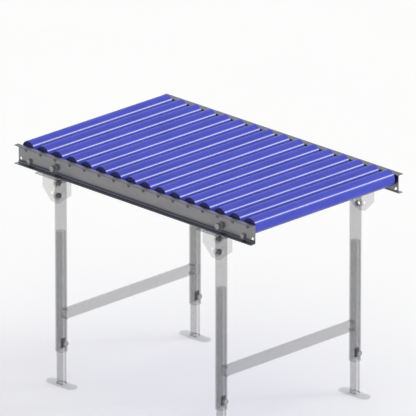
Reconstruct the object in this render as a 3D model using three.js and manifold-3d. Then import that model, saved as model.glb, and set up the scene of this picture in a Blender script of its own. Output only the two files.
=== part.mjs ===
// Gravity roller conveyor on two telescopic stands. Millimetres, +Z up.
// X runs along the track and Y across it. The origin is on the floor, under the middle of the track.
import * as THREE from 'three';
import { mergeVertices } from 'three/addons/utils/BufferGeometryUtils.js';
import Module from 'manifold-3d';

const wasm = await Module();
wasm.setup();

// The track
const trackLength = 1000;
const insideWidth = 604;
const conveyingHeight = 750;
const rollerCount = 16;
const fitGap = 0.3;
const cutOverrun = 2;

// Side frames: channels with the flanges turned outwards
const frameDepth = 20;
const frameWall = 2;
const frameBend = 5;
const axleDrop = 13;
const endHoleInset = 10;
const endHoleRise = 15;
const endHoleDiameter = 9;

// Rollers: a plastic tube closed by two pressed-in end caps, turning on a fixed hexagon axle
const rollerDiameter = 50;
const tubeWall = 2.8;
const rollerEndGap = 5.5;
const capThickness = 14;
const capProud = 2.5;
const capStep = 2.5;
const capRimWidth = 3.5;
const capDish = 2;
const bearingDiameter = 21;
const bearingInset = 3;
const axleFlats = 11;

// Cross ties: round bars with a hexagon screw in each end
const tieInset = 48;
const tieDrop = 7;
const tieRise = 15;
const tieDiameter = 12;
const tieScrewDiameter = 8;
const tieScrewFlats = 13;
const tieScrewHead = 5.3;
const tieWasherDiameter = 16;
const tieWasherThickness = 1.6;

// Stands
const standInset = 160;
const uprightSize = 28;
const uprightWall = 2;
const uprightCorner = 2.5;
const uprightFloorGap = 108;
const uprightTopDrop = 2;
const barHeight = 225;
const weldLeg = 4;
const ventDiameter = 8;

// Brackets between the uprights and the side frames
const bracketWidth = 122;
const bracketThickness = 3;
const bracketShelfDepth = 32;
const bracketSideDrop = 51;
const bracketTipRadius = 23;
const heelReach = 24.5;
const heelRise = 4;
const earRadius = 14;
const infeedEarOffset = -4;
const outfeedEarOffset = 16;
const upperBoltDrop = 28;
const boltSpacing = 41;
const spareHoleDiameter = 10;
const spareHoleOffset = 21.5;

// Bolts through the brackets, with a wide flange under a low round head and a nut inside the upright
const boltDiameter = 10;
const boltHoleDiameter = 11;
const boltFlangeDiameter = 26;
const boltFlangeThickness = 1.6;
const boltCrownDiameter = 14;
const boltCrownHeight = 2;
const boltEnd = 2.5;
const nutFlats = 16;
const nutThickness = 8;

// Long screws from the frame's web into the bracket's ear, each with a lock nut on a washer
const earScrewRise = 22;
const earScrewDiameter = 10;
const earScrewFlats = 17;
const earScrewHead = 6.4;
const earScrewReach = 16;
const earNutThickness = 5;
const earWasherDiameter = 26;
const earWasherThickness = 2.5;

// Telescopic legs: a lipped rail welded to a foot plate
const railHeadroom = 114;
const railWall = 2;
const railSlot = 11;
const slideClearance = 0.5;
const footLength = 120;
const footWidth = 36;
const footThickness = 5;
const footHoleDiameter = 11;
const footHoleSpacing = 88;

// Clamps that hold the legs at their height
const clampRise = 29;
const clampFlangeDiameter = 20;
const clampFlangeThickness = 2;
const clampScrewFlats = 16;
const clampScrewHead = 6.4;
const clampPlateHeight = 30;
const clampPlateWidth = 16;
const clampPlateThickness = 4;

// How many flats stand for a circle
const rollerSides = 16;
const roundSides = 12;
const smallSides = 8;
const hexSides = 6;
const bendSteps = 2;
const earSteps = 3;
const footSteps = 5;

// Places worked out from the sizes above
const axleHeight = conveyingHeight - rollerDiameter / 2;
const tieHeight = axleHeight - rollerDiameter / 2 - tieDrop;
const frameBottom = tieHeight - tieRise;
const frameHeight = axleHeight + axleDrop - frameBottom;
const rollerPitch = trackLength / rollerCount;
const webInner = insideWidth / 2;
const webOuter = webInner + frameWall;
const webSeat = webOuter + fitGap;
const standX = trackLength / 2 - standInset;
const tieX = trackLength / 2 - tieInset;
const bracketOuter = webInner - fitGap;
const bracketInner = bracketOuter - bracketThickness;
const uprightHalf = uprightSize / 2;
const uprightY = bracketInner - fitGap - uprightHalf;
const uprightTop = frameBottom - uprightTopDrop;
const upperBoltHeight = frameBottom - upperBoltDrop;
const lowerBoltHeight = upperBoltHeight - boltSpacing;
const railTop = lowerBoltHeight - railHeadroom;
const clampHeight = uprightFloorGap + clampRise;
const railSize = uprightSize - 2 * uprightWall - 2 * slideClearance;

function finish(color, roughness, metalness) {
  return new THREE.MeshStandardMaterial({ color, roughness, metalness });
}

const frameSteel = finish(0x88888b, 0.5, 0.7);
const standSteel = finish(0xbdbdbf, 0.55, 0.5);
const boltSteel = finish(0x6f6f74, 0.35, 0.9);
const axleSteel = finish(0x55564c, 0.4, 0.8);
const rollerPlastic = finish(0x4f55c6, 0.35, 0);

// Booleans

function solid(geometry) {
  const bare = geometry.index ? geometry.toNonIndexed() : geometry.clone();
  bare.deleteAttribute('normal');
  bare.deleteAttribute('uv');
  const merged = mergeVertices(bare);
  const mesh = new wasm.Mesh({
    numProp: 3,
    vertProperties: new Float32Array(merged.attributes.position.array),
    triVerts: new Uint32Array(merged.index.array),
  });
  return new wasm.Manifold(mesh);
}

function geometryOf(body) {
  const mesh = body.getMesh();
  const geometry = new THREE.BufferGeometry();
  geometry.setAttribute('position', new THREE.BufferAttribute(new Float32Array(mesh.vertProperties), 3));
  geometry.setIndex(new THREE.BufferAttribute(new Uint32Array(mesh.triVerts), 1));
  return geometry;
}

function join(first, ...others) {
  return geometryOf(others.reduce((body, part) => body.add(solid(part)), solid(first)));
}

function cut(blank, ...tools) {
  return geometryOf(tools.reduce((body, tool) => body.subtract(solid(tool)), solid(blank)));
}

// Basic forms, drawn about the Y axis

const hexRadius = (flats) => flats / Math.sqrt(3);

function rod(radius, from, to, sides) {
  const geometry = new THREE.CylinderGeometry(radius, radius, to - from, sides);
  return geometry.translate(0, (from + to) / 2, 0);
}

// A hexagon bar or head with two of its flats level
const hexagon = (flats, from, to) => rod(hexRadius(flats), from, to, hexSides).rotateY(Math.PI / hexSides);

// A drill whose facets lie outside its diameter
function drill(diameter, from, to) {
  return rod(diameter / 2 / Math.cos(Math.PI / smallSides), from, to, smallSides);
}

// A body turned about Y, from a closed profile of [radius, y] pairs
function turned(profile, sides) {
  const points = [...profile, profile[0]].map(([radius, y]) => new THREE.Vector2(radius, y));
  return new THREE.LatheGeometry(points, sides);
}

const outline = (points) => new THREE.Shape(points.map(([x, y]) => new THREE.Vector2(x, y)));

function extrude(shape, from, to, curveSegments = bendSteps) {
  const depth = to - from;
  const geometry = new THREE.ExtrudeGeometry(shape, { depth, bevelEnabled: false, curveSegments });
  return geometry.translate(0, 0, from);
}

// Turns a shape drawn in X and Y, and raised along Z, so that it is drawn in Y and Z and runs along X
function laidAlongX(geometry) {
  const across = new THREE.Vector3(0, 1, 0);
  const up = new THREE.Vector3(0, 0, 1);
  const along = new THREE.Vector3(1, 0, 0);
  return geometry.applyMatrix4(new THREE.Matrix4().makeBasis(across, up, along));
}

// Both ends of a piece that lies along Y, from its +Y end
const bothEnds = (geometry) => [geometry, geometry.clone().rotateZ(Math.PI)];

const conveyor = new THREE.Group();

function add(name, geometry, material, x, y, z, turn = 0) {
  const mesh = new THREE.Mesh(geometry, material);
  mesh.name = name;
  mesh.position.set(x, y, z);
  mesh.rotation.z = turn;
  conveyor.add(mesh);
}

const firstRoller = (rollerPitch - trackLength) / 2;
const rollerPlaces = Array.from({ length: rollerCount }, (_, i) => firstRoller + i * rollerPitch);
const ends = [
  { end: 'infeed', sign: -1, earOffset: infeedEarOffset },
  { end: 'outfeed', sign: 1, earOffset: outfeedEarOffset },
];
const sides = [
  { side: 'left', sign: -1, turn: Math.PI },
  { side: 'right', sign: 1, turn: 0 },
];

// Side frame: one channel of folded sheet. It is drawn for the +Y side and turned half round for the other,
// where only the holes for the ear screws change their places.

function channelShape() {
  const inner = frameBend - frameWall;
  const high = frameHeight - frameBend;
  const shape = new THREE.Shape();
  shape.moveTo(frameDepth, 0);
  shape.absarc(frameBend, frameBend, frameBend, -Math.PI / 2, -Math.PI, true);
  shape.absarc(frameBend, high, frameBend, Math.PI, Math.PI / 2, true);
  shape.lineTo(frameDepth, frameHeight);
  shape.lineTo(frameDepth, frameHeight - frameWall);
  shape.absarc(frameBend, high, inner, Math.PI / 2, Math.PI, false);
  shape.absarc(frameBend, frameBend, inner, Math.PI, Math.PI * 3 / 2, false);
  shape.lineTo(frameDepth, frameWall);
  return shape;
}

function sideFrame(sideSign) {
  const blank = laidAlongX(extrude(channelShape(), -trackLength / 2, trackLength / 2));
  const from = -cutOverrun;
  const to = frameWall + cutOverrun;
  const axleHole = hexagon(axleFlats + 2 * fitGap, from, to);
  const endHole = drill(endHoleDiameter, from, to);
  const tieHole = drill(tieScrewDiameter + 4 * fitGap, from, to);
  const earHole = drill(earScrewDiameter + 4 * fitGap, from, to);
  const endX = trackLength / 2 - endHoleInset;
  return cut(
    blank,
    ...rollerPlaces.map((x) => axleHole.clone().translate(x, 0, axleHeight - frameBottom)),
    ...ends.map(({ sign }) => endHole.clone().translate(sign * endX, 0, endHoleRise)),
    ...ends.map(({ sign }) => tieHole.clone().translate(sign * tieX, 0, tieRise)),
    ...ends.map(({ sign, earOffset }) => {
      const x = sideSign * (sign * standX + earOffset);
      return earHole.clone().translate(x, 0, earScrewRise);
    }),
  );
}

for (const { side, sign, turn } of sides) {
  add(`side_frame_${side}`, sideFrame(sign), frameSteel, 0, sign * webInner, frameBottom, turn);
}

// Roller: the shell turned in one profile. A cap at each end stands out of the tube, with a raised rim round
// its dished face and the bearing's bore through it.

const rollerRadius = rollerDiameter / 2;
const rollerEnd = webInner - rollerEndGap;
const tubeEnd = rollerEnd - capProud;
const bearingBore = (bearingDiameter / 2 + fitGap) / Math.cos(Math.PI / rollerSides);

function rollerShell() {
  const capRadius = rollerRadius - capStep;
  const halfProfile = [
    [rollerRadius - tubeWall, rollerEnd - capThickness],
    [bearingBore, rollerEnd - capThickness],
    [bearingBore, rollerEnd - capDish],
    [capRadius - capRimWidth, rollerEnd],
    [capRadius, rollerEnd],
    [capRadius, tubeEnd],
    [rollerRadius, tubeEnd],
  ];
  const mirrored = halfProfile.map(([radius, y]) => [radius, -y]).reverse();
  return turned([...halfProfile, ...mirrored].reverse(), rollerSides);
}

// Axle: a hexagon bar held in the webs, with a bearing pressed on inside each cap
function rollerAxle() {
  const bearing = rod(bearingDiameter / 2, rollerEnd - capThickness, rollerEnd - bearingInset, roundSides);
  return join(hexagon(axleFlats, -webOuter, webOuter), ...bothEnds(bearing));
}

const shellGeometry = rollerShell();
const axleGeometry = rollerAxle();
rollerPlaces.forEach((x, i) => {
  const number = String(i + 1).padStart(2, '0');
  add(`roller_${number}`, shellGeometry, rollerPlastic, x, 0, axleHeight);
  add(`roller_axle_${number}`, axleGeometry, axleSteel, x, 0, axleHeight);
});

// Cross tie: its bar stands between the webs, and its end screws come through them

function crossTie() {
  const barEnd = webInner - fitGap;
  const washerEnd = webSeat + tieWasherThickness;
  const headEnd = washerEnd + tieScrewHead;
  const bar = rod(tieDiameter / 2, -barEnd, barEnd, roundSides);
  const screws = rod(tieScrewDiameter / 2, -washerEnd, washerEnd, smallSides);
  const washer = rod(tieWasherDiameter / 2, webSeat, washerEnd, roundSides);
  const head = hexagon(tieScrewFlats, webSeat, headEnd);
  return join(bar, screws, ...bothEnds(washer), ...bothEnds(head));
}

const tieGeometry = crossTie();
for (const { end, sign } of ends) {
  add(`cross_tie_${end}`, tieGeometry, boltSteel, sign * tieX, 0, tieHeight);
}

// Bracket: a plate bolted to the upright. Its shelf carries the frame's lower flange, and its ear stands
// behind the web and holds the long screw, which is locked from outside by a nut on a washer. Its foot is
// round on one side of the lower bolt and has a heel on the other. The two spare holes lie on an arc about
// the upper bolt, for a stand that is bolted on at an angle.

function bracketShape(earX) {
  const tip = lowerBoltHeight - frameBottom;
  const shelfTop = -fitGap;
  const edge = bracketWidth / 2;
  const rise = -bracketSideDrop - tip;
  const tangent = Math.atan2(rise, edge) - Math.acos(bracketTipRadius / Math.hypot(edge, rise));
  const shape = new THREE.Shape();
  shape.moveTo(edge, shelfTop);
  shape.lineTo(edge, -bracketSideDrop);
  shape.lineTo(heelReach, tip - bracketTipRadius + heelRise);
  shape.absarc(0, tip, bracketTipRadius, -Math.PI / 2, -Math.PI - tangent, true);
  shape.lineTo(-edge, -bracketSideDrop);
  shape.lineTo(-edge, shelfTop);
  shape.lineTo(earX - earRadius, shelfTop);
  shape.absarc(earX, earScrewRise, earRadius, Math.PI, 0, true);
  shape.lineTo(earX + earRadius, shelfTop);
  return shape;
}

function earScrew() {
  const washerEnd = webSeat + earWasherThickness;
  const headEnd = webOuter + earScrewReach;
  return join(
    rod(earScrewDiameter / 2, bracketInner, headEnd - earScrewHead / 2, smallSides),
    rod(earWasherDiameter / 2, webSeat, washerEnd, roundSides),
    hexagon(earScrewFlats, washerEnd - earWasherThickness / 2, washerEnd + earNutThickness),
    hexagon(earScrewFlats, headEnd - earScrewHead, headEnd),
  );
}

function bracket(earX) {
  const plate = extrude(bracketShape(earX), -bracketThickness, 0, earSteps);
  plate.rotateX(Math.PI / 2).translate(0, bracketInner, 0);
  const shelfDepth = bracketThickness + bracketShelfDepth;
  const shelf = new THREE.BoxGeometry(bracketWidth, shelfDepth, bracketThickness);
  shelf.translate(0, bracketInner + shelfDepth / 2, -fitGap - bracketThickness / 2);
  const from = bracketInner - cutOverrun;
  const to = bracketOuter + cutOverrun;
  const boltHole = drill(boltHoleDiameter, from, to);
  const spareHole = drill(spareHoleDiameter, from, to);
  const spareHoleDrop = upperBoltDrop + Math.sqrt(boltSpacing ** 2 - spareHoleOffset ** 2);
  return cut(
    join(plate, shelf, earScrew().translate(earX, 0, earScrewRise)),
    boltHole.clone().translate(0, 0, -upperBoltDrop),
    boltHole.clone().translate(0, 0, -upperBoltDrop - boltSpacing),
    spareHole.clone().translate(-spareHoleOffset, 0, -spareHoleDrop),
    spareHole.clone().translate(spareHoleOffset, 0, -spareHoleDrop),
  );
}

// Stand frame: two uprights and the bar between them, square tubes welded to one frame. A hole in each
// upright's inner wall vents the closed bar for the zinc bath.

function squareTube(from, to) {
  const flat = uprightHalf - uprightCorner;
  const bore = uprightHalf - uprightWall;
  const shape = new THREE.Shape();
  shape.absarc(flat, flat, uprightCorner, 0, Math.PI / 2, false);
  shape.absarc(-flat, flat, uprightCorner, Math.PI / 2, Math.PI, false);
  shape.absarc(-flat, -flat, uprightCorner, Math.PI, Math.PI * 3 / 2, false);
  shape.absarc(flat, -flat, uprightCorner, Math.PI * 3 / 2, Math.PI * 2, false);
  const square = [
    [bore, bore],
    [-bore, bore],
    [-bore, -bore],
    [bore, -bore],
  ];
  shape.holes.push(new THREE.Path(square.map(([x, y]) => new THREE.Vector2(x, y))));
  return extrude(shape, from, to);
}

// One upright. Its bolt holes are in the outer wall and its clamp hole is in the +X wall.
function upright(turn) {
  const hole = drill(boltHoleDiameter, 0, uprightHalf + cutOverrun);
  const boltHole = hole.clone().rotateZ(turn);
  const clampHole = hole.clone().rotateZ(-Math.PI / 2);
  return cut(
    squareTube(uprightFloorGap, uprightTop),
    boltHole.clone().translate(0, 0, upperBoltHeight),
    boltHole.clone().translate(0, 0, lowerBoltHeight),
    clampHole.translate(0, 0, clampHeight),
  );
}

// The weld bead along the top of the bar's +Y end
function weldBead() {
  const wall = uprightY - uprightHalf;
  const sunk = uprightWall / 2;
  const section = outline([
    [wall + sunk, uprightHalf - sunk],
    [wall + sunk, uprightHalf + weldLeg],
    [wall, uprightHalf + weldLeg],
    [wall - weldLeg, uprightHalf],
    [wall - weldLeg, uprightHalf - sunk],
  ]);
  const reach = uprightHalf - uprightCorner;
  return laidAlongX(extrude(section, -reach, reach));
}

function standFrame() {
  const barEnd = uprightY - uprightHalf + uprightWall / 2;
  const bar = squareTube(-barEnd, barEnd).rotateX(Math.PI / 2);
  const beads = [weldBead(), weldBead().rotateY(Math.PI)].flatMap(bothEnds);
  const welded = join(
    ...sides.map(({ sign, turn }) => upright(turn).translate(0, sign * uprightY, 0)),
    ...[bar, ...beads].map((piece) => piece.translate(0, 0, barHeight)),
  );
  return cut(welded, drill(ventDiameter, -uprightY, uprightY).translate(0, 0, barHeight));
}

// Bolt through the bracket and the upright's outer wall
function bracketBolt() {
  const headSeat = bracketOuter + fitGap;
  const flangeEnd = headSeat + boltFlangeThickness;
  const nutSeat = uprightY + uprightHalf - uprightWall - fitGap;
  const nutEnd = nutSeat - nutThickness;
  return join(
    rod(boltCrownDiameter / 2, headSeat, flangeEnd + boltCrownHeight, smallSides),
    rod(boltFlangeDiameter / 2, headSeat, flangeEnd, roundSides),
    rod(boltDiameter / 2, nutEnd - boltEnd, flangeEnd, smallSides),
    hexagon(nutFlats, nutEnd, nutSeat),
  );
}

// Leg: a lipped rail, open towards +X, that slides in the upright and stands on its welded foot plate

function railShape() {
  const half = railSize / 2;
  const bore = half - railWall;
  const lip = railSlot / 2;
  return outline([
    [half, lip],
    [half, half],
    [-half, half],
    [-half, -half],
    [half, -half],
    [half, -lip],
    [bore, -lip],
    [bore, -bore],
    [-bore, -bore],
    [-bore, bore],
    [bore, bore],
    [bore, lip],
  ]);
}

function footPlate() {
  const radius = footWidth / 2;
  const centre = footLength / 2 - radius;
  const shape = new THREE.Shape();
  shape.absarc(centre, 0, radius, -Math.PI / 2, Math.PI / 2, false);
  shape.absarc(-centre, 0, radius, Math.PI / 2, Math.PI * 3 / 2, false);
  const hole = drill(footHoleDiameter, -cutOverrun, footThickness + cutOverrun).rotateX(Math.PI / 2);
  return cut(
    extrude(shape, 0, footThickness, footSteps),
    hole.clone().translate(-footHoleSpacing / 2, 0, 0),
    hole.clone().translate(footHoleSpacing / 2, 0, 0),
  );
}

const telescopicLeg = () => join(footPlate(), extrude(railShape(), footThickness / 2, railTop));

// Clamp: a flanged screw through the upright's +X wall that pulls a tapped plate against the rail's lips
function legClamp() {
  const seat = uprightHalf + fitGap;
  const flangeEnd = seat + clampFlangeThickness;
  const plateFace = railSize / 2 - railWall - fitGap;
  const plateBack = plateFace - clampPlateThickness;
  const screw = join(
    rod(clampFlangeDiameter / 2, seat, flangeEnd, roundSides),
    hexagon(clampScrewFlats, seat, flangeEnd + clampScrewHead),
    rod(boltDiameter / 2, plateBack - boltEnd, seat + clampFlangeThickness / 2, smallSides),
  );
  const plate = new THREE.BoxGeometry(clampPlateWidth, clampPlateThickness, clampPlateHeight);
  plate.translate(0, plateBack + clampPlateThickness / 2, 0);
  return join(screw, plate).rotateZ(-Math.PI / 2);
}

const standGeometry = standFrame();
const boltGeometry = bracketBolt();
const legGeometry = telescopicLeg();
const clampGeometry = legClamp();
const boltPlaces = [
  { place: 'upper', z: upperBoltHeight },
  { place: 'lower', z: lowerBoltHeight },
];

for (const { end, sign: endSign, earOffset } of ends) {
  const x = endSign * standX;
  add(`stand_frame_${end}`, standGeometry, standSteel, x, 0, 0);
  for (const { side, sign, turn } of sides) {
    const y = sign * uprightY;
    add(`bracket_${end}_${side}`, bracket(sign * earOffset), standSteel, x, 0, frameBottom, turn);
    add(`telescopic_leg_${end}_${side}`, legGeometry, standSteel, x, y, 0);
    add(`leg_clamp_${end}_${side}`, clampGeometry, boltSteel, x, y, clampHeight);
    for (const { place, z } of boltPlaces) {
      add(`bracket_bolt_${end}_${side}_${place}`, boltGeometry, boltSteel, x, 0, z, turn);
    }
  }
}

export default conveyor;
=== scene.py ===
import math

import bmesh
import bpy
from mathutils import Matrix, Vector


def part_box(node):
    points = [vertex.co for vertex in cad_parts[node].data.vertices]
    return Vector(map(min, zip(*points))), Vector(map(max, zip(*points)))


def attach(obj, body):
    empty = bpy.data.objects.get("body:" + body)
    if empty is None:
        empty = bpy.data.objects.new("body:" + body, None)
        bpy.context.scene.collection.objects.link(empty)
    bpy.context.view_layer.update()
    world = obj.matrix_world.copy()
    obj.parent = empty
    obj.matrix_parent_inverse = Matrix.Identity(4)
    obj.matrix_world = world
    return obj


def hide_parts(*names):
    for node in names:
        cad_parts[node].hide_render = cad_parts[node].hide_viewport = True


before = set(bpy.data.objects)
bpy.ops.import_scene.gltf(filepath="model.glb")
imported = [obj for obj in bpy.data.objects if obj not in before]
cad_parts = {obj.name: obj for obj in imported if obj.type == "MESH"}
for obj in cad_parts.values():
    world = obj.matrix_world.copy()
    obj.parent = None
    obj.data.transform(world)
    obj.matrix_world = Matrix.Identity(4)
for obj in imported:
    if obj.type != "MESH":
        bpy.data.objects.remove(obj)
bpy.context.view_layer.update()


# Side frames
# Two channels folded from 2 mm zinc-plated sheet, with both flanges turned outwards. Their webs are
# punched with hexagon holes that hold the axles and with round ones for the screws. The outer edge faces
# of the sheet are drawn darker. The web carries painted shade along its foot, and the flanges painted
# shade and light: the upper one darker, the lower one paler.


def linear(red, green, blue):
    """A screen colour, 0 to 255, as the shaders take it."""
    return tuple(((c / 255 + 0.055) / 1.055) ** 2.4 for c in (red, green, blue)) + (1.0,)


class Term:
    """A number inside a node tree that takes part in ordinary arithmetic."""

    def __init__(self, owner, socket):
        self.owner = owner
        self.socket = socket

    def maths(self, operation, *terms):
        return self.owner.term("ShaderNodeMath", {"operation": operation}, dict(enumerate(terms)))

    def __add__(self, other):
        return self.maths("ADD", self, other)

    def __radd__(self, other):
        return self.maths("ADD", other, self)

    def __sub__(self, other):
        return self.maths("SUBTRACT", self, other)

    def __rsub__(self, other):
        return self.maths("SUBTRACT", other, self)

    def __mul__(self, other):
        return self.maths("MULTIPLY", self, other)

    def __rmul__(self, other):
        return self.maths("MULTIPLY", other, self)

    def __truediv__(self, other):
        return self.maths("DIVIDE", self, other)

    def above(self, low, high):
        """0 under low, 1 over high and a smooth step between them."""
        inputs = {"Value": self, "From Min": low, "From Max": high}
        return self.owner.term("ShaderNodeMapRange", {"interpolation_type": "SMOOTHSTEP"}, inputs)


class Nodes:
    """A node tree whose nodes are added one call at a time."""

    def __init__(self, tree):
        self.tree = tree

    def node(self, kind, settings=(), inputs=()):
        made = self.tree.nodes.new(kind)
        for name, value in dict(settings).items():
            setattr(made, name, value)
        for key, value in dict(inputs).items():
            self.plug(made.inputs[key], value)
        return made

    def plug(self, socket, value):
        if isinstance(value, Term):
            value = value.socket
        if isinstance(value, bpy.types.NodeSocket):
            self.tree.links.new(value, socket)
        else:
            socket.default_value = value

    def term(self, kind, settings=(), inputs=(), output=0):
        return Term(self, self.node(kind, settings, inputs).outputs[output])


class Material(Nodes):
    """A Principled material. Keywords are sockets that stay the same all over the surface."""

    def __init__(self, name, **sockets):
        self.material = bpy.data.materials.new(name)
        self.material.use_nodes = True
        super().__init__(self.material.node_tree)
        self.shader = self.tree.nodes["Principled BSDF"]
        for key, value in sockets.items():
            self.feed(key.replace("_", " "), value)
        self.place = self.node("ShaderNodeTexCoord").outputs["Object"]

    def feed(self, name, value):
        self.plug(self.shader.inputs[name], value)

    def noise(self, size, stretch=(1, 1, 1), detail=3.0, rough=0.55):
        """Cloudy noise, about 0.5, whose patches are size metres across, times stretch along each axis."""
        scale = tuple(1 / (size * s) for s in stretch)
        moved = self.node("ShaderNodeVectorMath", {"operation": "MULTIPLY"}, {0: self.place, 1: scale})
        inputs = {"Vector": moved.outputs[0], "Scale": 1.0, "Detail": detail, "Roughness": rough}
        return self.term("ShaderNodeTexNoise", {}, inputs)

    def axis(self, name):
        """The place along X, Y or Z, in metres."""
        return self.term("ShaderNodeSeparateXYZ", {}, {0: self.place}, "XYZ".index(name))

    def mix(self, amount, first, second):
        made = self.node("ShaderNodeMix", {"data_type": "RGBA"}, {0: amount, 6: first, 7: second})
        return made.outputs[2]

    def bump(self, height, distance, strength=1.0):
        inputs = {"Height": height, "Distance": distance, "Strength": strength}
        self.feed("Normal", self.node("ShaderNodeBump", {}, inputs).outputs[0])


class Recipe(Nodes):
    """A geometry tree. Its sizes are named inputs, which on() sets by their sockets' identifiers."""

    def __init__(self, name, **kinds):
        super().__init__(bpy.data.node_groups.new(name, "GeometryNodeTree"))
        sides = [("OUTPUT", "Geometry", "Geometry"), ("INPUT", "Geometry", "Geometry")]
        for side, label, kind in sides + [("INPUT", label, kind) for label, kind in kinds.items()]:
            self.tree.interface.new_socket(name=label, in_out=side, socket_type="NodeSocket" + kind)
        self.given = self.node("NodeGroupInput").outputs

    def size(self, label):
        return Term(self, self.given[label])

    def vector(self, x=0.0, y=0.0, z=0.0):
        return self.node("ShaderNodeCombineXYZ", {}, {0: x, 1: y, 2: z}).outputs[0]

    def moved(self, geometry, translation):
        inputs = {"Geometry": geometry, "Translation": translation}
        return self.node("GeometryNodeTransform", {}, inputs).outputs[0]

    def boolean(self, operation, first, *others):
        made = self.node("GeometryNodeMeshBoolean", {"operation": operation, "solver": "EXACT"})
        if operation == "DIFFERENCE":
            self.plug(made.inputs["Mesh 1"], first)
        else:
            others = (first,) + others
        for other in others:
            self.tree.links.new(other, made.inputs["Mesh 2"])
        return made.outputs[0]

    def joined(self, *parts):
        made = self.node("GeometryNodeJoinGeometry")
        for part in parts:
            self.tree.links.new(part, made.inputs[0])
        return made.outputs[0]

    def finish(self, geometry, material=None):
        geometry = self.node("GeometryNodeRealizeInstances", {}, {0: geometry}).outputs[0]
        if material is not None:
            inputs = {"Geometry": geometry, "Material": material}
            geometry = self.node("GeometryNodeSetMaterial", {}, inputs).outputs[0]
        self.node("NodeGroupOutput", {}, {"Geometry": geometry})

    def on(self, piece, **values):
        modifier = piece.modifiers.new(self.tree.name, "NODES")
        modifier.node_group = self.tree
        for socket in self.tree.interface.items_tree:
            if socket.in_out == "INPUT" and socket.name in values:
                modifier[socket.identifier] = values[socket.name]


def arc(centre, radius, start, stop, steps):
    """Points on a circle, from one angle in degrees to another."""
    turns = [math.radians(start + (stop - start) * i / steps) for i in range(steps + 1)]
    return [(centre[0] + radius * math.cos(t), centre[1] + radius * math.sin(t)) for t in turns]


def circle(centre, radius, steps=32):
    return arc(centre, radius, 0, 360, steps)[:-1]


def prism(name, loops, low, high, place):
    """A closed body between two ends. The first loop is its outline and the others are holes in it, and
    place turns (a, b, height) into a point."""
    made = bmesh.new()
    edges = []
    for loop in loops:
        ring = [made.verts.new((a, b, low)) for a, b in loop]
        edges += [made.edges.new((ring[i - 1], ring[i])) for i in range(len(ring))]
    bmesh.ops.triangle_fill(made, edges=edges, use_beauty=True)
    grown = bmesh.ops.extrude_face_region(made, geom=made.faces[:], use_keep_orig=True)
    for point in grown["geom"]:
        if isinstance(point, bmesh.types.BMVert):
            point.co.z = high
    bmesh.ops.dissolve_limit(made, angle_limit=math.radians(0.5), verts=made.verts, edges=made.edges)
    for point in made.verts:
        point.co = place(*point.co)
    made.normal_update()
    bmesh.ops.recalc_face_normals(made, faces=made.faces)
    return placed(name, made)


def placed(name, made, materials=()):
    """An object at the origin from a bmesh, which is freed."""
    mesh = bpy.data.meshes.new(name)
    made.to_mesh(mesh)
    made.free()
    piece = bpy.data.objects.new(name, mesh)
    bpy.context.scene.collection.objects.link(piece)
    for material in materials:
        mesh.materials.append(material)
    return piece


def applied(piece):
    """Turns what is stacked on a piece into a plain mesh."""
    graph = bpy.context.evaluated_depsgraph_get()
    piece.data = bpy.data.meshes.new_from_object(piece.evaluated_get(graph))
    piece.modifiers.clear()
    return piece.data


def settled(piece, material=None, edge=0.0, sharp=35):
    """Rounds the edges of a piece a little and shades it, with its large faces flat."""
    if edge:
        bevel = piece.modifiers.new("edge", "BEVEL")
        bevel.width = edge
        bevel.segments = 2
        bevel.limit_method = "ANGLE"
        bevel.angle_limit = math.radians(50)
    done = applied(piece)
    for face in done.polygons:
        face.use_smooth = True
    done.set_sharp_from_angle(angle=math.radians(sharp))
    even = piece.modifiers.new("even", "WEIGHTED_NORMAL")
    even.keep_sharp = True
    done = applied(piece)
    if material is not None:
        done.materials.clear()
        done.materials.append(material)
    return piece


def carried(piece, node, body="track_and_stands"):
    """Hides the CAD node that a finished piece stands in for, and gives the piece its body."""
    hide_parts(node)
    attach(piece, body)


def zinc_sheet():
    made = Material("zinc_plated_sheet", Metallic=1.0)
    rolled = made.noise(0.0009, (60, 1, 1), detail=4)
    cloud = made.noise(0.03, (2, 1, 1), detail=5)
    flake = made.term("ShaderNodeTexVoronoi", {"feature": "F1"}, {"Vector": made.place, "Scale": 160.0})
    tone = cloud * 0.8 + flake * 0.2
    plain = made.mix(tone.above(0.25, 0.75), linear(131, 131, 135), linear(142, 142, 144))
    # The web is painted darker up to 10 to 12 mm above the frame's underside. This is painted shade from the
    # lower flange.
    shade_from, shade_to, shade_wander = 0.0095, 0.0125, 0.002
    height = made.axis("Z") - frame_low.z + cloud * shade_wander
    shaded_web = made.mix(1 - height.above(shade_from, shade_to), plain, linear(96, 96, 106))
    # The flanges are painted apart from the web as lit and shaded. Painted shade darkens the upper flange,
    # and painted light makes the lower one paler.
    mid_low, mid_high = 0.02, 0.04
    flange = made.mix(height.above(mid_low, mid_high), linear(138, 138, 150), linear(106, 106, 122))
    y = made.axis("Y")
    across = y.maths("ABSOLUTE", y)
    web_and_flanges_shaded = made.mix(across.above(web_outer, web_outer + frame_sheet), shaded_web, flange)
    # The outer edge faces of the flanges are drawn darker.
    cut_edge = 0.0002
    made.feed("Base Color", made.mix(across.above(lip - cut_edge, lip), web_and_flanges_shaded, linear(98, 98, 110)))
    made.feed("Roughness", 0.24 + cloud * 0.1 + rolled * 0.06)
    made.bump(rolled * 0.6 + cloud * 0.4, 0.00002)
    return made.material


roller_nodes = sorted(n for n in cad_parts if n.startswith("roller_") and "axle" not in n)
side_signs = {"left": -1, "right": 1}
end_signs = {"infeed": -1, "outfeed": 1}

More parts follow.
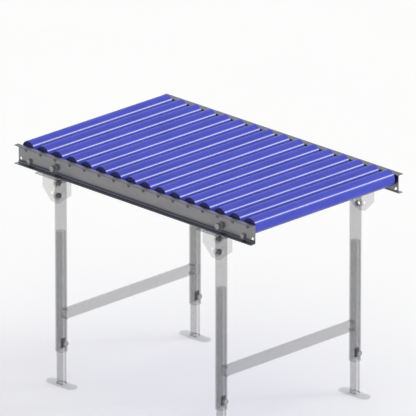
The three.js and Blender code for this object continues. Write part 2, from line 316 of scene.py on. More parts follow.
frame_sheet = 0.002
fold = 0.005
fold_steps = 6
frame_edge = 0.0003
frame_low, frame_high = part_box("side_frame_right")
web_inner = frame_low.y
web_outer = web_inner + frame_sheet
lip = frame_high.y
track_end = frame_high.x
roller_low, roller_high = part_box(roller_nodes[0])
roller_x = [sum(corner.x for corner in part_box(node)) / 2 for node in roller_nodes]
roller_pitch = roller_x[1] - roller_x[0]
axle_height = (roller_low.z + roller_high.z) / 2
splice_inset = 0.010
splice_x = track_end - splice_inset
tie_inset = 0.048
tie_x = track_end - tie_inset
tie_rise = 0.015
tie_height = frame_low.z + tie_rise
ear_x = {"infeed": -0.344, "outfeed": 0.356}
ear_rise = 0.022
ear_height = frame_low.z + ear_rise

punch_reach = 0.012
round_sides = 24
axle_hole_flats = 0.0116
splice_hole = 0.0090
tie_hole = 0.0092
ear_hole = 0.0112
# Each row: sides, diameter, first place along the track, height, step and count.
hole_rows = [
    (6, axle_hole_flats * 2 / math.sqrt(3), roller_x[0], axle_height, roller_pitch, len(roller_x)),
    (round_sides, splice_hole, -splice_x, tie_height, 2 * splice_x, 2),
    (round_sides, tie_hole, -tie_x, tie_height, 2 * tie_x, 2),
    (round_sides, ear_hole, ear_x["infeed"], ear_height, ear_x["outfeed"] - ear_x["infeed"], 2),
]

punched_row = Recipe(
    "punched_row", Sides="Int", Diameter="Float", First="Vector", Step="Vector", Count="Int",
    Metal="Material",
)
punch_inputs = {
    "Vertices": punched_row.given["Sides"],
    "Radius": punched_row.size("Diameter") * 0.5,
    "Depth": punch_reach,
}
punch = punched_row.node("GeometryNodeMeshCylinder", {}, punch_inputs)
punch_turn = {"Geometry": punch.outputs[0], "Rotation": (math.pi / 2, 0, 0)}
punch_line = {
    "Count": punched_row.given["Count"],
    "Start Location": punched_row.given["First"],
    "Offset": punched_row.given["Step"],
}
punch_row = {
    "Points": punched_row.node("GeometryNodeMeshLine", {}, punch_line).outputs[0],
    "Instance": punched_row.node("GeometryNodeTransform", {}, punch_turn).outputs[0],
}
holes = punched_row.node("GeometryNodeInstanceOnPoints", {}, punch_row).outputs[0]
holes = punched_row.node("GeometryNodeRealizeInstances", {}, {0: holes}).outputs[0]
punched = punched_row.boolean("DIFFERENCE", punched_row.given["Geometry"], holes)
punched_row.finish(punched, punched_row.given["Metal"])

sheet_material = zinc_sheet()
for side, sign in side_signs.items():
    node = "side_frame_" + side
    low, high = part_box(node)
    depth, height = high.y - low.y, high.z - low.z
    inside = fold - frame_sheet
    channel = [(depth, 0)] + arc((fold, fold), fold, 270, 180, fold_steps)
    channel += arc((fold, height - fold), fold, 180, 90, fold_steps) + [(depth, height)]
    channel += [(depth, height - frame_sheet)] + arc((fold, height - fold), inside, 90, 180, fold_steps)
    channel += arc((fold, fold), inside, 180, 270, fold_steps) + [(depth, frame_sheet)]
    piece = prism(
        node + "_channel", [channel], low.x, high.x,
        lambda a, b, t, sign=sign, low=low: (t, sign * (web_inner + a), low.z + b),
    )
    web = sign * (web_inner + frame_sheet / 2)
    for sides, diameter, x, z, step, count in hole_rows:
        punched_row.on(
            piece, Sides=sides, Diameter=diameter, First=(x, web, z), Step=(step, 0, 0), Count=count,
            Metal=sheet_material,
        )
    carried(settled(piece, edge=frame_edge), node)


# Axles and bearings
# Each roller turns on a fixed bar of bright-drawn hexagon steel, held in the hexagon holes of the two webs.
# Its olive tone is its own, but it is painted darker than the steel as painted shade in the holes. A ball
# bearing is pressed on it inside each end cap, with a black seal between its two steel rings.


def turned(name, profile, materials, centre, sides=72, sharp=32):
    """A closed body turned about a line along Y. The profile lists (radius, y, material of the next step)."""
    made = bmesh.new()
    rings = []
    for radius, y, _ in profile:
        turns = [2 * math.pi * i / sides for i in range(sides)]
        rings.append([made.verts.new((radius * math.sin(t), y, radius * math.cos(t))) for t in turns])
    for k, (_, _, slot) in enumerate(profile):
        here, after = rings[k], rings[(k + 1) % len(rings)]
        for i in range(sides):
            j = (i + 1) % sides
            face = made.faces.new((here[i], here[j], after[j], after[i]))
            face.material_index = slot
    bmesh.ops.recalc_face_normals(made, faces=made.faces)
    made.transform(Matrix.Translation(centre))
    piece = placed(name, made, materials)
    return settled(piece, sharp=sharp)


def both_ways(half):
    """A whole profile from its half on the +Y side, whose steps keep their materials."""
    back = []
    for k in range(len(half) - 1, 0, -1):
        radius, y, _ = half[k]
        back.append((radius, -y, half[k - 1][2]))
    return half + back


def drawn_steel():
    made = Material("drawn_axle_steel", Metallic=0.9)
    drawn = made.noise(0.0008, (1, 60, 1), detail=4)
    tint = made.noise(0.006)
    # The olive tone is the bar's own. Its darkness is painted shade from the webs' holes.
    made.feed("Base Color", made.mix(tint.above(0.35, 0.7), linear(78, 78, 62), linear(112, 110, 94)))
    made.feed("Roughness", 0.3 + drawn * 0.2)
    made.bump(drawn, 0.00003)
    return made.material


def ring_steel():
    made = Material("bearing_ring_steel", Metallic=1.0)
    lathe = made.noise(0.0004, (1, 8, 1), detail=3)
    made.feed("Base Color", made.mix(lathe, linear(150, 150, 152), linear(176, 176, 178)))
    made.feed("Roughness", 0.16 + lathe * 0.14)
    return made.material


def black_seal():
    made = Material("bearing_seal_rubber", Roughness=0.6)
    grain = made.noise(0.0005, detail=5)
    made.feed("Base Color", made.mix(grain, linear(22, 22, 26), linear(38, 38, 42)))
    made.bump(grain, 0.00003)
    return made.material


bar_flats = 0.011
bar_chamfer = 0.0006
bar_hexagon = circle((0, 0), bar_flats / math.sqrt(3), 6)
bearing_sides = 40
bearing_bore = 0.0066
bearing_radius = 0.0105
bearing_depth = 0.011
bearing_inset = 0.003
ring_edge = 0.0003
seal_inner, seal_outer = 0.0080, 0.0092
seal_slope = 0.0002
seal_inner_sink, seal_outer_sink = 0.0004, 0.0005
roller_end = roller_high.y
bearing_face = roller_end - bearing_inset
bearing_back = bearing_face - bearing_depth
RING, SEAL_RUBBER = 0, 1
bearing_rings = [
    (bearing_bore, bearing_back, RING),
    (bearing_bore, bearing_face, RING),
    (seal_inner - seal_slope, bearing_face, RING),
    (seal_inner, bearing_face - seal_inner_sink, SEAL_RUBBER),
    (seal_outer, bearing_face - seal_outer_sink, SEAL_RUBBER),
    (seal_outer + seal_slope, bearing_face, RING),
    (bearing_radius - ring_edge, bearing_face, RING),
    (bearing_radius, bearing_face - ring_edge, RING),
    (bearing_radius, bearing_back + ring_edge, RING),
    (bearing_radius - ring_edge, bearing_back, RING),
]
axle_material = drawn_steel()
bearing_materials = [ring_steel(), black_seal()]
for number, x in enumerate(roller_x, 1):
    node = f"roller_axle_{number:02d}"
    bar = prism(
        node + "_bar", [bar_hexagon], -web_outer, web_outer,
        lambda a, b, t, x=x: (x + a, t, axle_height + b),
    )
    carried(settled(bar, axle_material, bar_chamfer), node)
    place = Vector((x, 0, axle_height))
    for side, sign in side_signs.items():
        rings = [(radius, sign * y, slot) for radius, y, slot in bearing_rings]
        bearing = turned(f"{node}_bearing_{side}", rings, bearing_materials, place, bearing_sides)
        carried(bearing, node)


# Rollers
# Each roller is an extruded tube of violet-blue PVC. A near-black moulded cap with a raised rim is pressed
# into each end and stands a little out of it. A separate violet seal covers the cap's dished face.


def blue_tube():
    made = Material("blue_pvc", Specular_IOR_Level=0.04)
    streak = made.noise(0.0015, (1, 90, 1), detail=4)
    cloud = made.noise(0.05, (1, 3, 1))
    made.feed("Base Color", made.mix(cloud.above(0.3, 0.7), linear(76, 84, 190), linear(83, 91, 200)))
    scuff = made.noise(0.004, (5, 1, 1), detail=6, rough=0.7).above(0.56, 0.75)
    made.feed("Roughness", 0.24 + streak * 0.05 + scuff * 0.12)
    made.bump(streak, 0.00002)
    return made.material


def black_cap():
    made = Material("black_cap_plastic", Specular_IOR_Level=0.4)
    grain = made.noise(0.0006, detail=5)
    made.feed("Base Color", made.mix(grain, linear(18, 18, 34), linear(34, 34, 54)))
    made.feed("Roughness", 0.36 + grain * 0.2)
    made.bump(grain, 0.00004)
    return made.material


def violet_seal():
    made = Material("violet_seal_plastic", Specular_IOR_Level=0.4)
    cloud = made.noise(0.006, detail=4)
    made.feed("Base Color", made.mix(cloud.above(0.3, 0.7), linear(52, 46, 132), linear(64, 56, 152)))
    made.feed("Roughness", 0.42 + cloud * 0.15)
    return made.material


tube_radius = (roller_high.z - roller_low.z) / 2
tube_wall = 0.0028
tube_bore = tube_radius - tube_wall
cap_stands_out = 0.0025
tube_end = roller_end - cap_stands_out
cap_step = 0.0025
cap_radius = tube_radius - cap_step
cap_bore = 0.0108
cap_depth = 0.014
cap_back = roller_end - cap_depth
rim = 0.0035
rim_inside = cap_radius - rim
rim_edge = 0.0006
dish = 0.002
seal_face = roller_end - dish
seal_step = cap_bore + 0.0022
edge = 0.0004
groove = 0.0003
joint_gap = 0.0001
TUBE, CAP, SEAL = 0, 1, 2
# From the middle of the bore out to the end and back along the outside.
half_roller = [
    (tube_bore, 0.0, TUBE),
    (tube_bore, cap_back - joint_gap, TUBE),
    (cap_bore, cap_back, CAP),
    (cap_bore, seal_face - edge, CAP),
    (cap_bore + edge, seal_face, SEAL),
    (seal_step, seal_face, SEAL),
    (seal_step + edge, seal_face + edge, SEAL),
    (rim_inside - 2 * edge, seal_face + 2 * edge, SEAL),
    (rim_inside - edge, seal_face + 2 * edge - groove, CAP),
    (rim_inside + edge / 2, roller_end - groove, CAP),
    (rim_inside + rim_edge, roller_end, CAP),
    (cap_radius - rim_edge, roller_end, CAP),
    (cap_radius, roller_end - rim_edge, CAP),
    (cap_radius, tube_end + edge, CAP),
    (cap_radius + groove, tube_end, CAP),
    (tube_bore + rim_edge, tube_end, CAP),
    (tube_bore + 2 * edge, tube_end - groove, TUBE),
    (tube_bore + 2 * edge + groove, tube_end, TUBE),
    (tube_radius - edge, tube_end, TUBE),
    (tube_radius, tube_end - edge, TUBE),
]
roller_materials = [blue_tube(), black_cap(), violet_seal()]
for node in roller_nodes:
    low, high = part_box(node)
    piece = turned(node + "_shell", both_ways(half_roller), roller_materials, (low + high) / 2)
    carried(piece, node, node + "_body")


# Cross ties
# A round steel bar stands between the webs near each end of the track, under the rollers. A hexagon screw
# on a washer comes through each web into its tapped end, and holds the two frames together.


def bright_zinc():
    made = Material("bright_zinc_heads", Metallic=0.55)
    cloud = made.noise(0.003, detail=4)
    made.feed("Base Color", made.mix(cloud.above(0.3, 0.7), linear(143, 143, 145), linear(159, 159, 161)))
    made.feed("Roughness", 0.34 + cloud * 0.14)
    made.bump(cloud, 0.00002)
    return made.material


def dark_zinc():
    made = Material("dark_zinc_fastenings", Metallic=0.8)
    cloud = made.noise(0.003, detail=4)
    made.feed("Base Color", made.mix(cloud.above(0.3, 0.7), linear(114, 114, 118), linear(132, 132, 136)))
    made.feed("Roughness", 0.36 + cloud * 0.16)
    made.bump(cloud, 0.00003)
    return made.material


def round_block(recipe, radius, base, height, sides=48):
    """A disc or a shank, standing on base along Z."""
    inputs = {"Vertices": sides, "Radius": radius, "Depth": height}
    body = recipe.node("GeometryNodeMeshCylinder", {}, inputs).outputs[0]
    return recipe.moved(body, recipe.vector(z=base + height * 0.5))


def hexagon_block(recipe, flats, base, height):
    """A hexagon with its corners turned down at both ends, standing on base along Z."""
    body = round_block(recipe, flats * (1 / math.sqrt(3)), 0.0, height, 6)
    face_share = 0.475
    face_radius = flats * face_share
    slope = 1 / math.tan(math.radians(30))
    cone_inputs = {
        "Vertices": 48,
        "Radius Bottom": face_radius + height * slope,
        "Radius Top": face_radius,
        "Depth": height,
    }
    upper = recipe.node("GeometryNodeMeshCone", {}, cone_inputs).outputs[0]
    over = {"Geometry": upper, "Translation": recipe.vector(z=height), "Rotation": (math.pi, 0, 0)}
    lower = recipe.node("GeometryNodeTransform", {}, over).outputs[0]
    return recipe.moved(recipe.boolean("INTERSECT", body, upper, lower), recipe.vector(z=base))


def thread_block(recipe, radius, base, height, pitch=0.0015):
    """A threaded stretch along Z, as ridges one pitch apart."""
    line = {"Start": recipe.vector(z=base), "End": recipe.vector(z=base + height)}
    rod = recipe.node("GeometryNodeCurvePrimitiveLine", {}, line).outputs[0]
    ridges = height / (pitch / 2)
    count = {"Curve": rod, "Count": ridges.maths("ROUND", ridges) + 1}
    rod = recipe.node("GeometryNodeResampleCurve", {}, count).outputs[0]
    index = Term(recipe, recipe.node("GeometryNodeInputIndex").outputs[0])
    root = index.maths("MODULO", index, 2)
    depth = pitch * 0.45
    ring = recipe.node("GeometryNodeCurvePrimitiveCircle", {}, {"Resolution": 32, "Radius": 1.0})
    inputs = {
        "Curve": rod,
        "Profile Curve": ring.outputs[0],
        "Scale": radius - root * depth,
        "Fill Caps": True,
    }
    return recipe.node("GeometryNodeCurveToMesh", {}, inputs).outputs[0]


def painted(recipe, geometry, material):
    inputs = {"Geometry": geometry, "Material": material}
    return recipe.node("GeometryNodeSetMaterial", {}, inputs).outputs[0]


def on_places(recipe, geometry):
    """One screw on each point of the piece, turned from Z to the way that the screws face."""
    inputs = {
        "Points": recipe.given["Geometry"],
        "Instance": geometry,
        "Rotation": recipe.given["Turn"],
    }
    return recipe.node("GeometryNodeInstanceOnPoints", {}, inputs).outputs[0]


def points(name, places):
    made = bmesh.new()
    for place in places:
        made.verts.new(place)
    return placed(name, made)


outward = {-1: (math.pi / 2, 0.0, 0.0), 1: (-math.pi / 2, 0.0, 0.0)}
seat_gap = 0.0003
web_seat = web_outer + seat_gap

head_screw = Recipe(
    "head_screw", Turn="Vector", Flats="Float", Head="Float", Shank="Float", Depth="Float",
    Washer="Float", Thickness="Float", Light="Material", Dark="Material",
)
thickness = head_screw.size("Thickness")
screw_depth = head_screw.size("Depth")
screw_parts = head_screw.joined(
    painted(
        head_screw,
        hexagon_block(head_screw, head_screw.size("Flats"), thickness, head_screw.size("Head")),
        head_screw.given["Light"],
    ),
    painted(
        head_screw,
        round_block(head_screw, head_screw.size("Washer") * 0.5, 0.0, thickness),
        head_screw.given["Dark"],
    ),
    painted(
        head_screw,
        round_block(head_screw, head_screw.size("Shank") * 0.5, 0 - screw_depth, screw_depth, 32),
        head_screw.given["Dark"],
    ),
)
head_screw.finish(on_places(head_screw, screw_parts))

tie_sides = 40
tie_radius = 0.006
tie_bore = 0.0035
tie_chamfer = 0.0006
tie_reach = web_inner - seat_gap
half_tie = [
    (tie_radius, tie_reach - tie_chamfer, 0),
    (tie_radius - tie_chamfer, tie_reach, 0),
    (tie_bore, tie_reach, 0),
]
tie_bar = [(radius, -y, 0) for radius, y, _ in reversed(half_tie)] + half_tie
tie_screw = dict(Flats=0.013, Head=0.0053, Shank=0.008, Depth=0.020, Washer=0.016, Thickness=0.0016)
light_metal = bright_zinc()
dark_metal = dark_zinc()
for end, end_sign in end_signs.items():
    node = "cross_tie_" + end
    place = Vector((end_sign * tie_x, 0, tie_height))
    carried(turned(node + "_bar", tie_bar, [dark_metal], place, tie_sides), node)
    for side, sign in side_signs.items():
        piece = points(f"{node}_screw_{side}", [(end_sign * tie_x, sign * web_seat, tie_height)])
        head_screw.on(piece, Turn=outward[sign], Light=light_metal, Dark=light_metal, **tie_screw)
        carried(settled(piece), node)


# Stands
# Each stand is two uprights of square tube with a third between them, welded and then zinc-plated. The
# photograph draws the stands as clear shapes so that the track stands out, and so does this finish.


def clear_zinc(name="clear_zinc_steel", more=0.0):
    """A see-through grey. It is denser where more is above 0."""
    made = Material(name)
    cloud = made.noise(0.02, detail=4)
    made.feed("Base Color", made.mix(cloud.above(0.3, 0.7), linear(70, 70, 74), linear(96, 96, 100)))
    made.feed("Roughness", 0.4 + cloud * 0.15)
    made.feed("Alpha", 0.15 + more + cloud * 0.03)
    made.bump(cloud, 0.00005)
    return made.material


def rounded_square(half, corner, steps=5):
    flat = half - corner
    loop = []
    for a, b, start in ((1, 1, 0), (-1, 1, 90), (-1, -1, 180), (1, -1, 270)):
        loop += arc((a * flat, b * flat), corner, start, start + 90, steps)
    return loop


bead_steps = 60
radians_a_step = 1.3
ripple_share = 0.08
weld_bead = Recipe("weld_bead", Radius="Float", Metal="Material")
path = weld_bead.node("GeometryNodeMeshToCurve", {}, {0: weld_bead.given["Geometry"]}).outputs[0]
path = weld_bead.node("GeometryNodeResampleCurve", {}, {"Curve": path, "Count": bead_steps}).outputs[0]
ripple = Term(weld_bead, weld_bead.node("GeometryNodeInputIndex").outputs[0]) * radians_a_step
ripple = ripple.maths("SINE", ripple)
bead_ring = weld_bead.node("GeometryNodeCurvePrimitiveCircle", {}, {"Resolution": 14, "Radius": 1.0})
bead_inputs = {
    "Curve": path,
    "Profile Curve": bead_ring.outputs[0],
    "Scale": weld_bead.size("Radius") * (1 + ripple * ripple_share),
    "Fill Caps": True,
}
bead = weld_bead.node("GeometryNodeCurveToMesh", {}, bead_inputs).outputs[0]
weld_bead.finish(bead, weld_bead.given["Metal"])


def polyline(name, places):
    made = bmesh.new()
    line = [made.verts.new(place) for place in places]
    for first, second in zip(line, line[1:]):
        made.edges.new((first, second))
    return placed(name, made)


square_half = 0.014
square_wall = 0.002
square_corner = 0.0025
square_inner_corner = 0.0008
square_edge = 0.0002
square = rounded_square(square_half, square_corner)
square_bore = rounded_square(square_half - square_wall, square_inner_corner, 3)
stand_low, stand_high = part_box("stand_frame_infeed")
stand_x = (stand_low.x + stand_high.x) / -2
upright_y = stand_high.y - square_half
bar_height = 0.225
bar_reach = upright_y - square_half - joint_gap
bolt_hole = 0.011
bolt_drop = 0.028
bolt_spacing = 0.041
upper_bolt = frame_low.z - bolt_drop
lower_bolt = upper_bolt - bolt_spacing
weld_radius = 0.0022
weld_half = square_half - square_corner
weld_y = bar_reach - weld_radius * 0.3
clear_metal = clear_zinc()
weld_metal = clear_zinc("clear_weld", 0.1)
for end, end_sign in end_signs.items():
    node = "stand_frame_" + end
    low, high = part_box(node)
    x = (low.x + high.x) / 2
    for side, sign in side_signs.items():
        y = sign * upright_y
        upright = prism(
            f"{node}_upright_{side}", [square, square_bore], low.z, high.z,
            lambda a, b, t, x=x, y=y: (x + a, y + b, t),
        )
        wall = sign * (upright_y + square_half)
        punched_row.on(
            upright, Sides=round_sides, Diameter=bolt_hole, First=(x, wall, lower_bolt),
            Step=(0, 0, bolt_spacing), Count=2, Metal=clear_metal,
        )
        carried(settled(upright, edge=square_edge), node)
    bar = prism(
        node + "_bar", [square, square_bore], -bar_reach, bar_reach,
        lambda a, b, t, x=x: (x + a, t, bar_height + b),
    )
    carried(settled(bar, clear_metal, square_edge), node)
    for side, sign in side_signs.items():
        y = sign * weld_y
        for place, z in (("top", bar_height + square_half), ("bottom", bar_height - square_half)):
            line = [(x - weld_half, y, z), (x + weld_half, y, z)]
            piece = polyline(f"{node}_weld_{side}_{place}", line)
            weld_bead.on(piece, Radius=weld_radius, Metal=weld_metal)
            carried(settled(piece), node)


# Brackets
# A 3 mm plate is bolted to the outside of each upright. Its shelf is folded out under the frame's flange,
# and its ear stands up behind the web. The foot is round on one side of the lower bolt and has a heel on
# the other, and two spare holes lie on an arc about the upper bolt.

bracket_plate = 0.003
bracket_half = 0.061
bracket_side = 0.051
bracket_edge = 0.0004
bracket_face = web_inner - seat_gap
tip_radius = 0.023
tip_drop = bolt_drop + bolt_spacing
tip_rise = tip_drop - bracket_side
tangent = math.degrees(math.atan2(tip_rise, bracket_half))
tangent -= math.degrees(math.acos(tip_radius / math.hypot(bracket_half, tip_rise)))
heel_reach = 0.0245
heel_rise = 0.004
ear_radius = 0.014
spare_radius = 0.005
spare_offset = 0.0215
spare_drop = bolt_drop + math.sqrt(bolt_spacing ** 2 - spare_offset ** 2)
bracket_holes = [
    circle((0, -bolt_drop), bolt_hole / 2),
    circle((0, -tip_drop), bolt_hole / 2),
    circle((spare_offset, -spare_drop), spare_radius),
    circle((-spare_offset, -spare_drop), spare_radius),
]
shelf_reach = 0.032
shelf_corner = 0.004
shelf_edge = 0.0006
shelf_turn = shelf_reach - shelf_corner
shelf_side = bracket_half - shelf_corner
shelf = [(-bracket_half, joint_gap), (bracket_half, joint_gap)]
shelf += arc((shelf_side, shelf_turn), shelf_corner, 0, 90, 6)
shelf += arc((-shelf_side, shelf_turn), shelf_corner, 90, 180, 6)
shelf_metal = clear_zinc("clear_zinc_shelf", 0.16)
for end, end_sign in end_signs.items():
    for side, sign in side_signs.items():
        node = f"bracket_{end}_{side}"
        ear = sign * (ear_x[end] - end_sign * stand_x)
        plate = [(bracket_half, -seat_gap), (bracket_half, -bracket_side)]
        plate += [(heel_reach, -tip_drop - tip_radius + heel_rise)]
        plate += arc((0, -tip_drop), tip_radius, -90, -180 - tangent, 12)
        plate += [(-bracket_half, -bracket_side), (-bracket_half, -seat_gap)]
        plate += [(ear - ear_radius, -seat_gap)] + arc((ear, ear_rise), ear_radius, 180, 0, 20)
        plate += [(ear + ear_radius, -seat_gap)]
        piece = prism(
            node + "_plate", [plate] + bracket_holes, bracket_face - bracket_plate, bracket_face,
            lambda a, b, t, sign=sign, e=end_sign: (e * stand_x + sign * a, sign * t, frame_low.z + b),
        )
        carried(settled(piece, clear_metal, bracket_edge), node)
        piece = prism(
            node + "_shelf", [shelf], -seat_gap - bracket_plate, -seat_gap,
            lambda a, b, t, sign=sign, e=end_sign: (
                e * stand_x + sign * a, sign * (bracket_face + b), frame_low.z + t,
            ),
        )
        carried(settled(piece, shelf_metal, shelf_edge), node)


# Bracket bolts and ear screws
# A bolt with a wide flange under its low round head holds each bracket to the upright, with a nut inside
# the tube. A long hexagon screw holds each ear to the web, and a nut on a wide washer locks it.

flange_bolt = Recipe(
    "flange_bolt", Turn="Vector", Flange="Float", Thickness="Float", Crown="Float", Height="Float",
    Metal="Material",
)
thickness = flange_bolt.size("Thickness")
bolt_parts = flange_bolt.joined(
    round_block(flange_bolt, flange_bolt.size("Flange") * 0.5, 0.0, thickness),
    round_block(flange_bolt, flange_bolt.size("Crown") * 0.5, thickness, flange_bolt.size("Height")),
)
flange_bolt.finish(on_places(flange_bolt, bolt_parts), flange_bolt.given["Metal"])

inner_nut = Recipe(
    "inner_nut", Turn="Vector", Flats="Float", Height="Float", Shank="Float", Reach="Float",
    Metal="Material",
)
nut_tail = 0.003
nut_height = inner_nut.size("Height")
nut_end = inner_nut.size("Reach") + nut_height
shank_end = nut_end + nut_tail
nut_parts = inner_nut.joined(
    hexagon_block(inner_nut, inner_nut.size("Flats"), 0 - nut_end, nut_height),
    thread_block(inner_nut, inner_nut.size("Shank") * 0.5, 0 - shank_end, shank_end),
)
inner_nut.finish(on_places(inner_nut, nut_parts), inner_nut.given["Metal"])

locked_screw = Recipe(
    "locked_screw", Turn="Vector", Flats="Float", Head="Float", Nut="Float", Shank="Float",
    Reach="Float", Washer="Float", Thickness="Float", Light="Material", Dark="Material",
)
screw_tail = 0.0053
thickness = locked_screw.size("Thickness")
flats = locked_screw.size("Flats")
head = locked_screw.size("Head")
reach = locked_screw.size("Reach")
shank = locked_screw.size("Shank") * 0.5
lock_parts = locked_screw.joined(
    painted(
        locked_screw,
        hexagon_block(locked_screw, flats, reach - head, head),
        locked_screw.given["Light"],
    ),
    painted(
        locked_screw,
        hexagon_block(locked_screw, flats, thickness, locked_screw.size("Nut")),
        locked_screw.given["Light"],
    ),
    painted(
        locked_screw,
        thread_block(locked_screw, shank, -screw_tail, reach - head * 0.5 + screw_tail),
        locked_screw.given["Dark"],
    ),
    painted(
        locked_screw,
        round_block(locked_screw, locked_screw.size("Washer") * 0.5, 0.0, thickness),
        locked_screw.given["Light"],
    ),
)
locked_screw.finish(on_places(locked_screw, lock_parts))

bolt_edge = 0.0004
bolt_head = dict(Flange=0.026, Thickness=0.0016, Crown=0.014, Height=0.002)
bolt_nut = dict(Flats=0.016, Height=0.008, Shank=0.010, Reach=0.0059)
ear_screw = dict(
    Flats=0.017, Head=0.0064, Nut=0.005, Shank=0.010, Reach=0.0157, Washer=0.026, Thickness=0.0025,
)
for end, end_sign in end_signs.items():
    for side, sign in side_signs.items():
        for place, z in (("upper", upper_bolt), ("lower", lower_bolt)):
            node = f"bracket_bolt_{end}_{side}_{place}"
            seat = [(end_sign * stand_x, sign * (bracket_face + seat_gap), z)]
            piece = points(node + "_head", seat)
            flange_bolt.on(piece, Turn=outward[sign], Metal=clear_metal, **bolt_head)
            carried(settled(piece, edge=bolt_edge), node)
            piece = points(node + "_nut", seat)
            inner_nut.on(piece, Turn=outward[sign], Metal=light_metal, **bolt_nut)
            carried(settled(piece), node)
        node = f"bracket_{end}_{side}"
        piece = points(node + "_ear_screw", [(ear_x[end], sign * web_seat, ear_height)])
        locked_screw.on(piece, Turn=outward[sign], Light=light_metal, Dark=dark_metal, **ear_screw)
        carried(settled(piece), node)


# Legs
# Each leg is a rail of 2 mm sheet folded to a square with a slot along one face. It slides in its upright
# and is welded to a foot plate with two holes for floor anchors.

rail_half = 0.0115
rail_wall = 0.002
rail_slot = 0.0055
rail_corner = 0.0025
rail_edge = 0.0002
rail_flat = rail_half - rail_corner
bore_half = rail_half - rail_wall
bore_corner = rail_corner - rail_wall
bore_flat = bore_half - bore_corner
rail = [(rail_half, rail_slot)]
for a, b, start in ((1, 1, 0), (-1, 1, 90), (-1, -1, 180), (1, -1, 270)):
    rail += arc((a * rail_flat, b * rail_flat), rail_corner, start, start + 90, 5)
rail += [(rail_half, -rail_slot), (bore_half, -rail_slot)]
for a, b, start in ((1, -1, 360), (-1, -1, 270), (-1, 1, 180), (1, 1, 90)):
    rail += arc((a * bore_flat, b * bore_flat), bore_corner, start, start - 90, 3)
rail += [(bore_half, rail_slot)]
foot_thickness = 0.005
foot_half = 0.06
foot_radius = 0.018
foot_edge = 0.0006
foot_flat = foot_half - foot_radius
anchor_radius = 0.0055
anchor_x = 0.044
foot = arc((foot_flat, 0), foot_radius, -90, 90, 20) + arc((-foot_flat, 0), foot_radius, 90, 270, 20)
foot_loops = [foot, circle((anchor_x, 0), anchor_radius), circle((-anchor_x, 0), anchor_radius)]
foot_weld_radius = 0.0015
foot_weld_height = foot_thickness + foot_weld_radius * 0.4
foot_weld = [
    (rail_half, rail_slot),
    (rail_half, rail_half),
    (-rail_half, rail_half),
    (-rail_half, -rail_half),
    (rail_half, -rail_half),
    (rail_half, -rail_slot),
]
foot_metal = clear_zinc("clear_zinc_foot", -0.05)
for end, end_sign in end_signs.items():
    for side, sign in side_signs.items():
        node = f"telescopic_leg_{end}_{side}"
        body = node + "_body"
        low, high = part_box(node)
        x, y = end_sign * stand_x, sign * upright_y
        piece = prism(
            node + "_rail", [rail], foot_thickness, high.z,
            lambda a, b, t, x=x, y=y: (x + a, y + b, t),
        )
        carried(settled(piece, clear_metal, rail_edge), node, body)
        piece = prism(
            node + "_foot", foot_loops, low.z, low.z + foot_thickness - joint_gap,
            lambda a, b, t, x=x, y=y: (x + a, y + b, t),
        )
        carried(settled(piece, foot_metal, foot_edge), node, body)
        piece = polyline(node + "_weld", [(x + a, y + b, foot_weld_height) for a, b in foot_weld])
        weld_bead.on(piece, Radius=foot_weld_radius, Metal=weld_metal)
        carried(settled(piece), node, body)


# Leg clamps
# A flanged hexagon screw low on each upright draws a tapped plate against the rail's lips from inside,
# and holds the leg at its height.

clamp_rise = 0.029
clamp_height = stand_low.z + clamp_rise
clamp_plate = 0.004
plate_half_width = 0.008
plate_half_height = 0.015
plate_corner = 0.001
plate_edge = 0.0004
plate_bore = 0.0052
stretch = plate_half_height / plate_half_width
plate_outline = [(a, b * stretch) for a, b in rounded_square(plate_half_width, plate_corner, 3)]
plate_loops = [plate_outline, circle((0, 0), plate_bore)]
clamp_seat = square_half + seat_gap
plate_seat = bore_half - seat_gap
clamp_tail = 0.0025
clamp_depth = clamp_seat - plate_seat + clamp_plate + clamp_tail
clamp_screw = dict(
    Flats=0.016, Head=0.0064, Shank=0.010, Depth=clamp_depth, Washer=0.020, Thickness=0.002,
)
outfeed_way = (0.0, math.pi / 2, 0.0)
for end, end_sign in end_signs.items():
    for side, sign in side_signs.items():
        node = f"leg_clamp_{end}_{side}"
        x, y = end_sign * stand_x, sign * upright_y
        piece = points(node + "_screw", [(x + clamp_seat, y, clamp_height)])
        head_screw.on(piece, Turn=outfeed_way, Light=light_metal, Dark=dark_metal, **clamp_screw)
        carried(settled(piece), node)
        piece = prism(
            node + "_plate", plate_loops, plate_seat - clamp_plate, plate_seat,
            lambda a, b, t, x=x, y=y: (x + t, y + a, clamp_height + b),
        )
        carried(settled(piece, dark_metal, plate_edge), node)


# Floor, light and camera
# A pale floor that runs out of view, a soft white sky and a broad sun behind the track. A small sun in
# the same place lights gloss alone, and draws the bright line along each roller.


def seen_directly(nodes):
    """1 for the rays of the camera, of gloss and of clear walls, and 0 for the light on the object."""
    rays = nodes.node("ShaderNodeLightPath").outputs
    seen = Term(nodes, rays["Is Camera Ray"]) + Term(nodes, rays["Is Glossy Ray"])
    return seen + Term(nodes, rays["Is Transmission Ray"])


def pale_floor():
    made = Material("pale_floor", Roughness=0.9, Emission_Strength=1.0)
    cloud = made.noise(0.5)
    dark, glow = (0.0, 0.0, 0.0, 1.0), (0.040, 0.040, 0.036, 1.0)
    made.feed("Emission Color", made.mix(seen_directly(made), dark, glow))
    made.feed("Base Color", made.mix(cloud, linear(250, 250, 250), linear(253, 253, 253)))
    return made.material


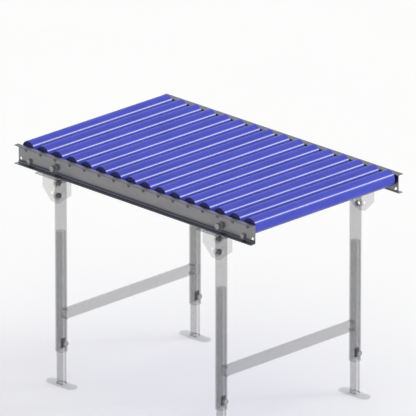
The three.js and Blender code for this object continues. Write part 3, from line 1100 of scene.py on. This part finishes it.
far = 60
corners = [(-far, -far, 0), (far, -far, 0), (far, far, 0), (-far, far, 0)]
floor_drop = 0.0005
floor_mesh = bpy.data.meshes.new("floor")
floor_mesh.from_pydata(corners, [], [(0, 1, 2, 3)])
floor_mesh.materials.append(pale_floor())
floor = bpy.data.objects.new("floor", floor_mesh)
floor.location.z = -floor_drop
bpy.context.scene.collection.objects.link(floor)

world = bpy.data.worlds.new("white_studio")
bpy.context.scene.world = world
world.use_nodes = True
studio = Nodes(world.node_tree)
seen_inputs = {"Value": seen_directly(studio), "To Min": 0.78, "To Max": 1.0}
sky = studio.tree.nodes["Background"]
sky.inputs["Color"].default_value = (1, 1, 1, 1)
studio.plug(sky.inputs["Strength"], studio.term("ShaderNodeMapRange", {}, seen_inputs))

towards = Vector((0.526, 0.663, 0.533))
for name, energy, spread, for_gloss in (("soft_key", 0.9, 45, False), ("line_light", 7.0, 3, True)):
    sun = bpy.data.lights.new(name, "SUN")
    sun.energy = energy
    sun.angle = math.radians(spread)
    lamp = bpy.data.objects.new(name, sun)
    lamp.rotation_mode = "QUATERNION"
    lamp.rotation_quaternion = towards.to_track_quat("Z", "Y")
    lamp.visible_diffuse = not for_gloss
    lamp.visible_glossy = for_gloss
    bpy.context.scene.collection.objects.link(lamp)

lens = bpy.data.cameras.new("long_lens")
lens.lens = 1000
lens.sensor_width = 36
camera = bpy.data.objects.new("long_lens", lens)
azimuth = math.radians(45)
elevation = math.radians(20.3)
back_to_camera = Vector((
    math.sin(azimuth) * math.cos(elevation),
    -math.cos(azimuth) * math.cos(elevation),
    math.sin(elevation),
))
looked_at = Vector((0, 0, 0.582))
width_in_view = 1.246
distance = width_in_view * lens.lens / lens.sensor_width
camera.location = looked_at + back_to_camera * distance
camera.rotation_mode = "QUATERNION"
camera.rotation_quaternion = back_to_camera.to_track_quat("Z", "Y")
lens.clip_end = 200
bpy.context.scene.collection.objects.link(camera)
bpy.context.scene.camera = camera
bpy.context.scene.view_settings.view_transform = "Standard"
# A ray that passes more clear walls than this turns black.
clear_walls_in_line = 24
bpy.context.scene.cycles.transparent_max_bounces = clear_walls_in_line
